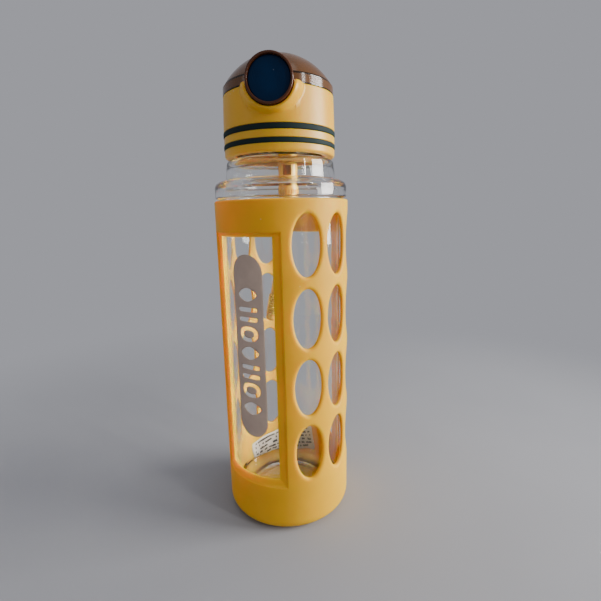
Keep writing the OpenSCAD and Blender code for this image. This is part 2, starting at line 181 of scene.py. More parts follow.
def blended(tree, factor, first, second):
    """A colour mix; returns its output."""
    return add(tree, "Mix", {"data_type": "RGBA"}, i0=factor, i6=first, i7=second).outputs[2]


def spread(tree, value, low, high, to_low=0.0, to_high=1.0):
    """A smooth Map Range; returns its output."""
    return add(tree, "MapRange", {"interpolation_type": "SMOOTHSTEP"}, Value=value, From_Min=low,
               From_Max=high, To_Min=to_low, To_Max=to_high).outputs[0]


def effect(name, inputs, outputs, build):
    """A shader node group, made once: inputs and outputs are (name, socket type, default)."""
    if name in bpy.data.node_groups:
        return bpy.data.node_groups[name]
    tree = bpy.data.node_groups.new(name, "ShaderNodeTree")
    for direction, sockets in (("INPUT", inputs), ("OUTPUT", outputs)):
        for label, kind, default in sockets:
            socket = tree.interface.new_socket(name=label, in_out=direction, socket_type="NodeSocket" + kind)
            if default is not None:
                socket.default_value = default
    source, sink = tree.nodes.new("NodeGroupInput"), tree.nodes.new("NodeGroupOutput")
    for label, value in build(tree, source.outputs).items():
        tree.links.new(value, sink.inputs[label])
    return tree


def tone_drift():
    """Slow change between two close colours, as pigment settles in a moulding."""
    def build(tree, given):
        cloud = add(tree, "TexNoise", Vector=given["Vector"], Scale=given["Scale"], Detail=3.0,
                    Roughness=0.55)
        return {"Colour": blended(tree, spread(tree, cloud.outputs[0], 0.3, 0.7), given["Main"],
                                  given["Second"])}
    return effect("Tone drift", [("Vector", "Vector", None), ("Scale", "Float", 40.0),
                                 ("Main", "Color", None),
                                 ("Second", "Color", None)], [("Colour", "Color", None)], build)


def fine_grain():
    """Height of a spark-eroded mould's grain, with a slower ripple under it."""
    def build(tree, given):
        grain = add(tree, "TexNoise", Vector=given["Vector"], Scale=given["Scale"], Detail=4.0, Roughness=0.7)
        ripple = add(tree, "TexNoise", Vector=given["Vector"], Scale=given["Ripple Scale"], Detail=1.0)
        lifted = maths(tree, "MULTIPLY", ripple.outputs[0], given["Ripple"])
        return {"Height": maths(tree, "ADD", grain.outputs[0], lifted), "Mottle": grain.outputs[0]}
    return effect("Fine grain", [("Vector", "Vector", None), ("Scale", "Float", 1800.0),
                                 ("Ripple", "Float", 3.0), ("Ripple Scale", "Float", 120.0)],
                  [("Height", "Float", None), ("Mottle", "Float", None)], build)


def specks():
    """Mask of small scattered dots: dust and lint on a surface."""
    def build(tree, given):
        cells = add(tree, "TexVoronoi", Vector=given["Vector"], Scale=given["Scale"], Randomness=1.0)
        chance = add(tree, "TexWhiteNoise", Vector=cells.outputs["Position"])
        dot = spread(tree, cells.outputs["Distance"], 0.05, 0.16, 1.0, 0.0)
        kept = maths(tree, "LESS_THAN", chance.outputs[0], given["Share"])
        return {"Mask": maths(tree, "MULTIPLY", dot, kept)}
    return effect("Specks", [("Vector", "Vector", None), ("Scale", "Float", 350.0), ("Share", "Float", 0.1)],
                  [("Mask", "Float", None)], build)


def handling():
    """Mask of faint smears where a surface has been handled or wiped."""
    def build(tree, given):
        drawn = add(tree, "Mapping", Vector=given["Vector"], Scale=(1.0, 1.0, 0.35))
        smear = add(tree, "TexNoise", Vector=drawn.outputs[0], Scale=given["Scale"], Detail=5.0,
                    Roughness=0.65, Distortion=0.8)
        return {"Mask": spread(tree, smear.outputs[0], 0.45, 0.75)}
    return effect("Handling", [("Vector", "Vector", None), ("Scale", "Float", 60.0)],
                  [("Mask", "Float", None)], build)


def place(tree, group, **inputs):
    """A group node with its inputs set; returns its outputs."""
    return add(tree, "Group", {"node_tree": group}, **inputs).outputs


def toned(tree, where, scale, colour, light, dark):
    """Drift between a colour's lighter and darker tone; returns the colour."""
    return place(tree, tone_drift(), Vector=where, Scale=scale, Main=shade(colour, light),
                 Second=shade(colour, dark))["Colour"]


def smears(tree, where, scale):
    """Mask of handling marks."""
    return place(tree, handling(), Vector=where, Scale=scale)["Mask"]


def dust_on(tree, where, scale, share):
    """Mask of dust specks."""
    return place(tree, specks(), Vector=where, Scale=scale, Share=share)["Mask"]


# ---------------------------------------------------------------- finishes


def finish(name, build, lets_light=False, **plain):
    """A material, made once: plain values go on the shader's own sockets, and build links the ones that
    vary. With lets_light, lamps shine through it, so that what stands behind the glass is lit."""
    if name in bpy.data.materials:
        return bpy.data.materials[name]
    material = bpy.data.materials.new(name)
    material.use_nodes = True
    tree = material.node_tree
    tree.nodes.clear()
    shader = tree.nodes.new("ShaderNodeBsdfPrincipled")
    output = tree.nodes.new("ShaderNodeOutputMaterial")
    surface = shader.outputs[0]
    if lets_light:
        clear = tree.nodes.new("ShaderNodeBsdfTransparent")
        mixed = tree.nodes.new("ShaderNodeMixShader")
        tree.links.new(add(tree, "LightPath").outputs["Is Shadow Ray"], mixed.inputs[0])
        tree.links.new(surface, mixed.inputs[1])
        tree.links.new(clear.outputs[0], mixed.inputs[2])
        surface = mixed.outputs[0]
    tree.links.new(surface, output.inputs[0])
    for key, value in plain.items():
        shader.inputs[key.replace("_", " ")].default_value = value
    coordinates = add(tree, "TexCoord")
    for key, value in build(tree, coordinates.outputs["Object"], coordinates.outputs["UV"]).items():
        tree.links.new(value, shader.inputs[key])
    return material


def bump(tree, height, distance, strength=1.0):
    """A Bump node of that depth in metres; returns its normal."""
    return add(tree, "Bump", Height=height, Distance=distance, Strength=strength).outputs[0]


def shade(colour, factor):
    """The colour with its light scaled."""
    return (colour[0] * factor, colour[1] * factor, colour[2] * factor, 1.0)


def moulded(name, colour, rough, drift=0.12, grain=1800.0, depth=0.00002, dust=0.03, mottle=0.12, **plain):
    """Satin moulded plastic or rubber: drifting tone, fine grain, uneven sheen and a little dust."""
    def build(tree, where, uv):
        tone = toned(tree, where, 38.0, colour, 1 + drift / 2, 1 - drift)
        dots = dust_on(tree, where, 420.0, dust)
        pale = (0.75, 0.72, 0.66, 1.0)
        skin = place(tree, fine_grain(), Vector=where, Scale=grain)
        worn = smears(tree, where, 70.0)
        gloss = maths(tree, "ADD", spread(tree, skin["Mottle"], 0.3, 0.7, rough - mottle / 2,
                                          rough + mottle / 2),
                      maths(tree, "MULTIPLY", worn, 0.06))
        return {"Base Color": blended(tree, maths(tree, "MULTIPLY", dots, 0.5), tone, pale),
                "Roughness": gloss, "Normal": bump(tree, skin["Height"], depth)}
    return finish(name, build, **plain)


def clear_glass(c):
    """Flint glass: faint green body, slow waviness in the wall, and smears that dull it here and there."""
    def build(tree, where, uv):
        wave = place(tree, fine_grain(), Vector=where, Scale=24.0, Ripple=2.5)["Height"]
        worn = smears(tree, where, 45.0)
        tint = blended(tree, worn, c.glass[:] + (1.0,), shade(c.glass, 0.965))
        return {"Base Color": tint, "Roughness": maths(tree, "MULTIPLY", worn, 0.035),
                "Normal": bump(tree, wave, 0.00003)}
    return finish("Clear glass", build, lets_light=True, Transmission_Weight=1.0, IOR=1.5, Metallic=0.0)


def silicone(c):
    return moulded("Silicone", c.silicone, 0.52, drift=0.06, grain=2200.0, depth=0.00003, dust=0.04,
                   Subsurface_Weight=0.8, Subsurface_Radius=(1.0, 0.5, 0.1), Subsurface_Scale=0.0035,
                   Specular_IOR_Level=0.25)


def cap_plastic(c):
    return moulded("Cap plastic", c.cap, 0.36, drift=0.05, grain=2600.0, depth=0.000012, dust=0.03,
                   mottle=0.08,
                   Subsurface_Weight=0.6, Subsurface_Radius=(1.0, 0.45, 0.08), Subsurface_Scale=0.003,
                   Specular_IOR_Level=0.4)


def thread_plastic(c):
    return moulded("Thread plastic", c.thread, 0.42, drift=0.06, depth=0.00001, dust=0.0,
                   Subsurface_Weight=0.9, Subsurface_Radius=(1.0, 0.6, 0.2), Subsurface_Scale=0.002)


def band_rubber(c):
    return moulded("Band rubber", c.band, 0.7, drift=0.2, grain=3000.0, depth=0.000015, dust=0.05,
                   Specular_IOR_Level=0.25)


def dark_plastic():
    return moulded("Dark plastic", (0.03, 0.026, 0.024), 0.4, drift=0.1, dust=0.02)


def button_plastic(c):
    """Deep glossy plastic with hairline scratches under a clear skin."""
    def build(tree, where, uv):
        tone = toned(tree, where, 60.0, c.button, 1.1, 0.8)
        worn = smears(tree, where, 160.0)
        dots = dust_on(tree, where, 600.0, 0.04)
        skin = place(tree, fine_grain(), Vector=where, Scale=900.0, Ripple=4.0)["Height"]
        return {"Base Color": blended(tree, maths(tree, "MULTIPLY", dots, 0.4), tone, (0.3, 0.36, 0.4, 1.0)),
                "Roughness": spread(tree, worn, 0.0, 1.0, 0.24, 0.36), "Normal": bump(tree, skin, 0.000008)}
    return finish("Button plastic", build, Specular_IOR_Level=0.12)


def smoke_plastic(c):
    """Translucent smoked plastic: brown body with slow streaks, glossy outside with handling marks, and
    painted shade: dark bands in the step above the rim and along the parting line, standing in for the shade
    in those grooves."""
    def build(tree, where, uv):
        tone = toned(tree, where, 55.0, c.smoke, 1.1, 0.85)
        worn = smears(tree, where, 90.0)
        dots = dust_on(tree, where, 500.0, 0.08)
        skin = place(tree, fine_grain(), Vector=where, Scale=700.0, Ripple=3.0)["Height"]
        dusty = blended(tree, maths(tree, "MULTIPLY", dots, 0.4), tone, (0.5, 0.42, 0.34, 1.0))
        up = add(tree, "SeparateXYZ", Vector=where).outputs[2]
        # painted shade: dark bands at the rim's step and at the parting line, where the grooves would be in
        # shade
        lines = [spread(tree, maths(tree, "ABSOLUTE", maths(tree, "SUBTRACT", up, middle)), half * 0.5,
                        half, 1.0, 0.0)
                 for middle, half in ((0.22865, 0.0007), (0.22425, 0.0006))]
        painted_groove_shade = maths(tree, "MULTIPLY", maths(tree, "MAXIMUM", *lines), 0.92)
        return {"Base Color": blended(tree, painted_groove_shade, dusty, shade(c.smoke, 0.06)),
                "Roughness": spread(tree, worn, 0.0, 1.0, 0.16, 0.3), "Normal": bump(tree, skin, 0.00001)}
    return finish("Smoke plastic", build, Transmission_Weight=0.5, IOR=1.49, Metallic=0.0,
                  Specular_IOR_Level=0.3)


def ring_plastic(c):
    """Nearly opaque dark brown plastic, glossy, with a faint tone change."""
    return moulded("Ring plastic", c.ring, 0.22, drift=0.2, grain=900.0, depth=0.000008, dust=0.03,
                   mottle=0.08, Specular_IOR_Level=0.3)


def straw_plastic(c):
    """Translucent yellow plastic with faint drawing lines."""
    def build(tree, where, uv):
        tone = toned(tree, where, 70.0, c.straw, 1.08, 0.88)
        worn = smears(tree, where, 200.0)
        skin = place(tree, fine_grain(), Vector=where, Scale=1200.0)["Height"]
        return {"Base Color": tone, "Roughness": spread(tree, worn, 0.0, 1.0, 0.22, 0.36),
                "Normal": bump(tree, skin, 0.00001)}
    return finish("Straw plastic", build, Transmission_Weight=0.15, IOR=1.46, Metallic=0.0,
                  Subsurface_Weight=0.8, Subsurface_Radius=(1.0, 0.6, 0.2), Subsurface_Scale=0.0015)


def soft_silicone():
    return moulded("Soft silicone", (0.78, 0.72, 0.6), 0.4, drift=0.06, dust=0.02, Subsurface_Weight=0.3,
                   Subsurface_Radius=(1.0, 0.8, 0.5), Subsurface_Scale=0.003)


def steel():
    """Drawn stainless wire: streaks along the wire and a slight tone change."""
    def build(tree, where, uv):
        drawn = add(tree, "TexNoise", Vector=where, Scale=1500.0, Detail=4.0)
        worn = smears(tree, where, 300.0)
        return {"Base Color": blended(tree, worn, (0.6, 0.6, 0.61, 1.0), (0.42, 0.41, 0.4, 1.0)),
                "Roughness": spread(tree, drawn.outputs[0], 0.3, 0.7, 0.2, 0.4),
                "Normal": bump(tree, drawn.outputs[0], 0.00001)}
    return finish("Steel", build, Metallic=1.0)


def print_ink(c):
    """Frosted ceramic ink: fine sandy grain, slightly uneven cover."""
    def build(tree, where, uv):
        tone = toned(tree, where, 90.0, c.ink, 1.05, 0.9)
        skin = place(tree, fine_grain(), Vector=where, Scale=5000.0, Ripple=1.0)
        return {"Base Color": blended(tree, spread(tree, skin["Mottle"], 0.4, 0.8, 0.0, 0.3), tone,
                                      shade(c.ink, 0.75)),
                "Roughness": spread(tree, skin["Mottle"], 0.3, 0.7, 0.6, 0.8),
                "Normal": bump(tree, skin["Height"], 0.00001)}
    return finish("Print ink", build)


def label_paper(c):
    """Cream paper with rows of plain dashes, set out on the label's own UV map in millimetres."""
    def build(tree, where, uv):
        split = add(tree, "SeparateXYZ", Vector=uv)
        across, up = split.outputs[0], split.outputs[1]
        row = maths(tree, "FLOOR", maths(tree, "DIVIDE", up, LABEL_ROW))
        within = maths(tree, "FRACT", maths(tree, "DIVIDE", up, LABEL_ROW))
        shifted = maths(tree, "ADD", across, maths(tree, "MULTIPLY", row, LABEL_SHIFT))
        cell = add(tree, "CombineXYZ", X=maths(tree, "FLOOR", maths(tree, "DIVIDE", shifted, LABEL_DASH)),
                   Y=row)
        chance = add(tree, "TexWhiteNoise", {"noise_dimensions": "2D"}, Vector=cell.outputs[0]).outputs[0]
        wobble = add(tree, "TexNoise", Vector=where, Scale=1500.0, Detail=2.0).outputs[0]
        line = maths(tree, "MULTIPLY", maths(tree, "GREATER_THAN", within, 0.3),
                     maths(tree, "LESS_THAN", within, maths(tree, "ADD", wobble, 0.3)))
        inside = maths(tree, "MULTIPLY", maths(tree, "LESS_THAN", maths(tree, "ABSOLUTE", across), 22.0),
                       maths(tree, "LESS_THAN", maths(tree, "ABSOLUTE", up), 7.2))
        printed = maths(tree, "MULTIPLY", inside,
                        maths(tree, "MULTIPLY", line, maths(tree, "GREATER_THAN", chance, 0.42)))
        fibre = place(tree, fine_grain(), Vector=where, Scale=900.0)
        paper = toned(tree, where, 120.0, c.paper, 1.0, 0.9)
        return {"Base Color": blended(tree, printed, paper, (0.03, 0.028, 0.03, 1.0)),
                "Roughness": spread(tree, fibre["Mottle"], 0.3, 0.7, 0.6, 0.8),
                "Normal": bump(tree, fibre["Height"], 0.00002)}
    return finish("Label paper", build)


# ---------------------------------------------------------------- settings


def length(label, about, millimetres):
    """A size property, given in millimetres."""
    return bpy.props.FloatProperty(name=label, description=about, default=millimetres * MM,
                                   subtype="DISTANCE", unit="LENGTH", min=0.0, precision=4)


def colour(label, about, value):
    """A colour property."""
    return bpy.props.FloatVectorProperty(name=label, description=about, default=value, subtype="COLOR",
                                         size=3, min=0.0, max=1.0)


class BottleSizes(bpy.types.PropertyGroup):
    """Sizes of the surfaces made here; they start at the frame's own."""

    glass_radius: length("Glass radius", "Outside radius of the glass under the sleeve", 32.6)
    glass_wall: length("Glass wall", "Thickness of the glass body's wall", 2.4)
    neck_radius: length("Neck radius", "Outside radius of the threaded neck", 22.2)
    sleeve_radius: length("Sleeve radius", "Outside radius of the silicone sleeve", SLEEVE_HIGH.x / MM)
    sleeve_inner: length("Sleeve inner radius", "Inside radius of the silicone sleeve", 32.75)
    sleeve_height: length("Sleeve height", "Height of the sleeve's rim", SLEEVE_HIGH.z / MM)
    sleeve_foot: length("Foot rounding", "Radius between the sleeve's wall and its base", 7.0)
    oval_width: length("Oval half width", "Half of the width of an oval opening", 7.6)
    oval_height: length("Oval half height", "Half of the height of an oval opening", 15.0)
    edge_roll: length("Edge roll", "Width over which an oval's edge rolls inward", 2.0)
    cap_radius: length("Cap radius", "Radius of the cap at its foot", 28.2)
    band_proud: length("Band standing proud", "How far the bands stand out from the cap", 0.25)
    button_radius: length("Button radius", "Radius of the push button", 9.5)
    ring_radius: length("Ring radius", "Outside radius of the ring round the button", 10.7)


class BottleColours(bpy.types.PropertyGroup):
    """Colours of the finishes, as linear light."""

    glass: colour("Glass", "Body colour of the glass", (0.985, 0.995, 0.988))
    silicone: colour("Silicone", "Colour of the sleeve", (0.80, 0.43, 0.006))
    cap: colour("Cap", "Colour of the cap", (0.80, 0.42, 0.010))
    thread: colour("Thread insert", "Colour of the threaded insert", (0.95, 0.42, 0.07))
    band: colour("Bands", "Colour of the two bands", (0.003, 0.016, 0.016))
    smoke: colour("Smoke", "Body colour of the dome", (0.21, 0.09, 0.028))
    ring: colour("Ring", "Colour of the ring round the button", (0.075, 0.022, 0.007))
    button: colour("Button", "Colour of the push button", (0.0, 0.016, 0.055))
    straw: colour("Straw", "Colour of the straw and its stem", (0.92, 0.52, 0.04))
    ink: colour("Ink", "Colour of the print on the glass", (0.56, 0.42, 0.33))
    paper: colour("Paper", "Colour of the label", (0.86, 0.76, 0.64))


# ---------------------------------------------------------------- shapes


def glass_line(s):
    """The glass body's section from the middle of its foot, up the outside, over the rim and down the
    inside."""
    r, inner, neck = s.glass_radius / MM, (s.glass_radius - s.glass_wall) / MM, s.neck_radius / MM
    return rounded_line([
        (0, 3.7, 0), (18, 3.4, 8), (23.5, 2.5, 1.2), (r, 2.5, 5.8), (r, 174.9, 0.4), (34.4, 175.4, 0.9),
        (34.4, 183.6, 3.6), (28.7, 184.1, 0.7), (27.5, 194.1, 2.2), (neck, 194.1, 0.7), (neck, 211.5, 1),
        (19.6, 211.5, 0.8), (19.6, 196.4, 1), (24.8, 190, 2.5), (25.7, 182.9, 1.2), (inner, 181.2, 4),
        (inner, 7, 8), (12, 7.2, 3), (0, 7.6, 0)], steps=8, spacing=1.2)


def thread_height(azimuth, z, start, pitch, turns, half):
    """How far a helical thread stands at each point, from 0 to 1: a flat-topped ridge whose middle climbs
    one pitch a turn from start, fading in and out over a twelfth of a turn. Azimuth is in degrees from
    +X."""
    turn = (azimuth % 360) / 360 + np.arange(int(turns) + 1)[:, None, None]
    fade = np.clip(np.minimum(turn, turns - turn) * 12, 0, 1)
    ridge = np.clip((half - np.abs(z - start - pitch * turn)) / (half / 2), 0, 1)
    return (fade * ridge * ridge * (3 - 2 * ridge)).max(0)


def frame_line(xs, zs):
    """Points once round a rectangle, from its lower right corner upward, at the given stations."""
    x = np.concatenate([np.full(len(zs) - 1, xs[-1]), xs[:0:-1], np.full(len(zs) - 1, xs[0]), xs[:-1]])
    z = np.concatenate([zs[:-1], np.full(len(xs) - 1, zs[-1]), zs[:0:-1], np.full(len(xs) - 1, zs[0])])
    return x, z


def opening_patch(border, edge, inner_edge, outer, inner, roll, depth):
    """The wall between a border and an opening, for each point of the border: along the outside, over an
    elliptic roll of the given width and depth, through the wall and back along the inside. The three lines
    are (azimuth, z)."""
    border, edge, inner_edge = (np.stack(line, -1)[:, None] for line in (border, edge, inner_edge))
    reach = np.linalg.norm((edge - border) * [math.radians(outer), 1], axis=2, keepdims=True)
    part = np.minimum(roll / reach, 0.88)
    flat = np.linspace(0, 1, 6)[None, :-1, None] * (1 - part)
    turn = np.linspace(0, math.pi / 2, 8)[None, :, None]
    rolled = 1 - part * (1 - np.sin(turn))
    outside = border + (edge - border) * np.concatenate([flat, rolled], 1)
    outside_r = np.broadcast_to(outer - depth * np.r_[np.zeros(5), 1 - np.cos(turn.ravel())],
                                outside.shape[:2])
    through = np.array([0.35, 0.7, 0.9, 1.0])[None, :, None]
    wall = edge + (inner_edge - edge) * through
    wall_r = np.broadcast_to(outer - depth + (inner + 0.25 - outer + depth) * through[0, :, 0],
                             wall.shape[:2])
    home = np.array([0.04, 0.3, 1.0])[None, :, None]
    inside = inner_edge + (border - inner_edge) * home
    flat_in = np.full(inside.shape[:2], inner)
    path = np.concatenate([outside, wall, inside], 1)
    radius = np.concatenate([outside_r, wall_r, flat_in], 1)
    return around(path[..., 0], path[..., 1], radius)


WINDOW_AZ, CELL_W, CELL_H, TOP_Z, FOOT_Z = -31.5, 32.0, 35.65, 170.225, 20.0
COLUMNS, ROWS, STATIONS = (58, 90, 122), 4, 24
FIRST_OVAL_Z = TOP_Z - CELL_H / 2


def sleeve_grids(s):
    """The sleeve, unrolled into cells: three columns of ovals and one window on each side, a rim above
    and a foot below. Neighbouring cells share their border stations, so they merge into one skin."""
    outer, inner = s.sleeve_radius / MM, s.sleeve_inner / MM
    rx, rz, roll = s.oval_width / MM, s.oval_height / MM, s.edge_roll / MM
    step = CELL_W / STATIONS
    xs = np.linspace(-CELL_W / 2, CELL_W / 2, STATIONS + 1)
    zs = np.linspace(-CELL_H / 2, CELL_H / 2, STATIONS + 1)
    bx, bz = frame_line(xs, zs)
    t = np.arctan2(bz / CELL_H, bx / CELL_W)
    ox, oi = (np.degrees(np.arcsin(rx * np.cos(t) / radius)) for radius in (outer, inner))
    oz = rz * np.sin(t)
    grids = []
    for side in (0, 180):
        home = WINDOW_AZ + side
        for column in COLUMNS:
            for row in range(ROWS):
                a, z = home + column, FIRST_OVAL_Z - CELL_H * row
                grids.append((opening_patch((a + bx, z + bz), (a + ox, z + oz), (a + oi, z + oz), outer,
                                            inner, roll, 1.15), True))
        half = COLUMNS[0] - CELL_W / 2
        low = TOP_Z - ROWS * CELL_H
        wx = np.linspace(-half, half, round(2 * half / step) + 1)
        wz = np.concatenate([np.linspace(FOOT_Z, low, 6)[:-1], np.linspace(low, TOP_Z, ROWS * STATIONS + 1)])
        bottom = (wz - FOOT_Z) / (TOP_Z - FOOT_Z)
        grids.append((opening_patch(
            tuple(v + o for v, o in zip(frame_line(wx, wz), (home, 0))),
            tuple(v + o for v, o in zip(frame_line(wx * 37 / half, 27.1 + 131.6 * bottom), (home, 0))),
            tuple(v + o for v, o in zip(frame_line(wx * 30 / half, 31 + 125.8 * bottom), (home, 0))),
            outer, inner, 0.8, 0.5), True))
        az = home + half + np.arange(round((COLUMNS[2] - COLUMNS[0] + CELL_W) / step) + 1) * step
        for radius in (outer, inner):
            grids.append((around(az[:, None], np.linspace(FOOT_Z, low, 6)[None, :], radius), False))
    turn = WINDOW_AZ - half + np.arange(round(360 / step)) * step
    top, foot = s.sleeve_height / MM, s.sleeve_foot / MM
    for line in (rounded_line([(outer, TOP_Z, 0), (outer, top, 0.9), (inner, top, 0.5), (inner, TOP_Z, 0)]),
                 rounded_line([(outer, FOOT_Z, 0), (outer, 0, foot), (22.2, 0, 0.6), (21, 0.7, 0.6),
                               (0, 0.7, 0)],
                              steps=12),
                 rounded_line([(0, 2.5, 0), (inner, 2.5, 5.8), (inner, FOOT_Z, 0)])):
        grids.append((around(turn[:, None], line[None, :, 1], line[None, :, 0]), True))
    return grids


def superellipse(t, a, b, power):
    """Distance from the centre to the curve |x/a|^power + |z/b|^power = 1, in direction t."""
    return (np.abs(np.cos(t) / a) ** power + np.abs(np.sin(t) / b) ** power) ** (-1 / power)


UPPER_BAND, LOWER_BAND, CAP_TOP_R = (204.8, 207.4), (199.0, 201.3), 27.7
BUTTON_Z, RECESS, SHELF, SLOT = 224.5, 11.0, 26.6, 5.8
DECK_LOW, DECK_TOP, WELL, SKIRT, PARTING = 213.5, 216.0, 25.5, 25.2, 224.1
HINGE_Y, HINGE_Z, KNUCKLE = 29.6, 224.1, 2.8
WAIST = 209  # height above the bands where the wall starts to taper


def cap_grid(s):
    """The cap as one skin: each column is a section from the middle of the deck's underside, down the
    skirt, up the grooved wall to its top edge, over it and down the well to the middle of the deck. At
    the front the top edge dips as a circle of RECESS about the button's axis, and a boss swells out round
    it: the wall's depth is the smooth maximum of its own and the boss's, which falls off with distance
    from that axis. The wall steps back at SHELF, with a narrower slot above for the button's pocket. At
    the back a groove of the knuckle's radius clears the cover's hinge."""
    foot, top = s.cap_radius / MM, CAP_TOP_R
    tau = np.radians(np.linspace(-90, 90, 41))
    front = np.concatenate([RECESS * np.sin(tau), SLOT * np.sin(tau[::2]), np.linspace(11.15, 17, 18),
                            -np.linspace(11.15, 17, 18)])
    front = np.degrees(np.arcsin(np.unique(front.round(4)) / top))
    az = np.concatenate([front, np.linspace(front[-1], 360 + front[0], 112)[1:-1]])
    x_top = top * np.sin(np.radians(az))
    ahead = np.cos(np.radians(az)) > 0
    inside = ahead & (np.abs(x_top) <= RECESS)

    def dip(radius):
        hit = ahead & (np.abs(x_top) <= radius)
        fall = BUTTON_Z - np.sqrt(np.maximum(radius ** 2 - x_top ** 2, 0))
        return np.where(hit, np.minimum(fall, PARTING), PARTING)

    edge, slot = dip(RECESS), dip(SLOT)
    fit = 0.05
    lower = rounded_line([(0, DECK_LOW, 0), (SKIRT, DECK_LOW, 0.5), (SKIRT, CAP_FOOT, 0.3),
                          (foot, CAP_FOOT, 1.2)]
                         + [corner for low, high in (LOWER_BAND, UPPER_BAND) for corner in
                            ((foot, low - fit, 0.25), (foot - 0.9, low - fit, 0.1),
                             (foot - 0.9, high + fit, 0.1),
                             (foot, high + fit, 0.25))] + [(foot, WAIST, 0)], spacing=2)
    rise = np.concatenate([np.linspace(0, 0.55, 6)[1:], 1 - 0.45 * (1 - np.linspace(0, 1, 19)[1:]) ** 1.5])
    lip = 0.45
    z_wall = WAIST + (edge[:, None] - lip - WAIST) * rise[None, :]
    r_wall = foot + (top - foot) * (z_wall - WAIST) / (PARTING - WAIST)
    a = np.radians(az)[:, None]
    x, y = r_wall * np.sin(a), r_wall * np.cos(a)
    reach = np.hypot(x, z_wall - BUTTON_Z)
    boss = 31.2 - 0.12 * (reach - RECESS) ** 2 - 7.5 * np.clip((reach - 11.9) / 3.6, 0, 1) ** 1.6
    boss = boss - 1.4 * np.clip((z_wall - 220.5) / 3.6, 0, 1) ** 2
    boss = np.where(ahead[:, None], np.where(reach < 15.5, boss, 0), 0)
    k = 0.7
    blend = k * np.maximum(1 - np.abs(y - boss) / (2 * k), 0) ** 2 / 2
    swell = np.where(boss > 0, np.maximum(y, boss) + blend, y)
    gap = np.sqrt(np.maximum((KNUCKLE + 0.3) ** 2 - (z_wall - HINGE_Z) ** 2, 0))
    behind = (~ahead)[:, None] & (np.abs(x) < 5.2) & (gap > 0)
    swell = np.where(behind, -np.minimum(-y, HINGE_Y - gap), swell)
    wall = np.stack([x, -swell, z_wall], -1)
    # over the top edge, to the shelf, up to the slot's edge, and over into the well
    xe, ye, sign = x[:, -1], swell[:, -1], np.sign(swell[:, -1])
    turn = np.radians(np.array([25, 50, 70, 90]))
    over = np.stack([np.broadcast_to(xe[:, None], (len(az), 4)),
                     -(ye[:, None] - sign[:, None] * lip * (1 - np.cos(turn))),
                     edge[:, None] - lip * (1 - np.sin(turn))], -1)
    back = np.where(inside, np.minimum(ye - lip, SHELF), ye - sign * lip)
    hold = np.stack([np.stack([xe, -back, edge], -1), np.stack([xe, -back, (edge + slot) / 2], -1),
                     np.stack([xe, -back, slot], -1)], 1)
    well = around(az[:, None], np.stack([slot, (slot + DECK_TOP) / 2, np.full(len(az), DECK_TOP + 0.6)],
                                        1), WELL)
    deck = around(az[:, None], np.array([[DECK_TOP + 0.15, DECK_TOP, DECK_TOP, DECK_TOP]]),
                  np.array([[WELL - 0.15, WELL - 0.6, 12, 0]]))
    return np.concatenate([around(az[:, None], lower[None, :-1, 1], lower[None, :-1, 0]),
                           around(az[:, None], np.array([[float(WAIST)]]), np.array([[foot]])), wall,
                           over, hold, well, deck], 1)


def slab(outline, x0, x1, ease=0.35):
    """A flat closed outline of (y, z) points given thickness along X, with eased edges and closed ends."""
    outline = np.array(outline, float)
    middle = outline.mean(0)
    shrink = outline + (middle - outline) * ease / np.linalg.norm(middle - outline, axis=1, keepdims=True)
    rows = [(x0, middle + 0 * outline), (x0, shrink), (x0 + ease / 2, outline + (shrink - outline) * 0.2),
            (x0 + ease, outline), (x1 - ease, outline), (x1 - ease / 2, outline + (shrink - outline) * 0.2),
            (x1, shrink), (x1, middle + 0 * outline)]
    return np.stack([np.stack([np.full(len(o), x), o[:, 0], o[:, 1]], -1) for x, o in rows], 1)


def lug_outline():
    """Side view of a hinge lug: a round head about the pin, and a tapering root on the cap's back wall."""
    t = np.radians(np.linspace(-32, 180, 28))
    head = np.stack([HINGE_Y + KNUCKLE * np.cos(t), HINGE_Z + KNUCKLE * np.sin(t)], -1)
    root = np.array([[25.7, 222], [25.7, 219], [25.7, 216], [26.6, 215.5], [27.7, 215.6]])
    rising = np.linspace([27.9, 215.8], head[0], 8)[1:-1]
    return np.concatenate([head, root, rising])


PRINT_AZ, PRINT_HALF, PRINT_Z = -26.5, 8.85, (53.0, 148.6)


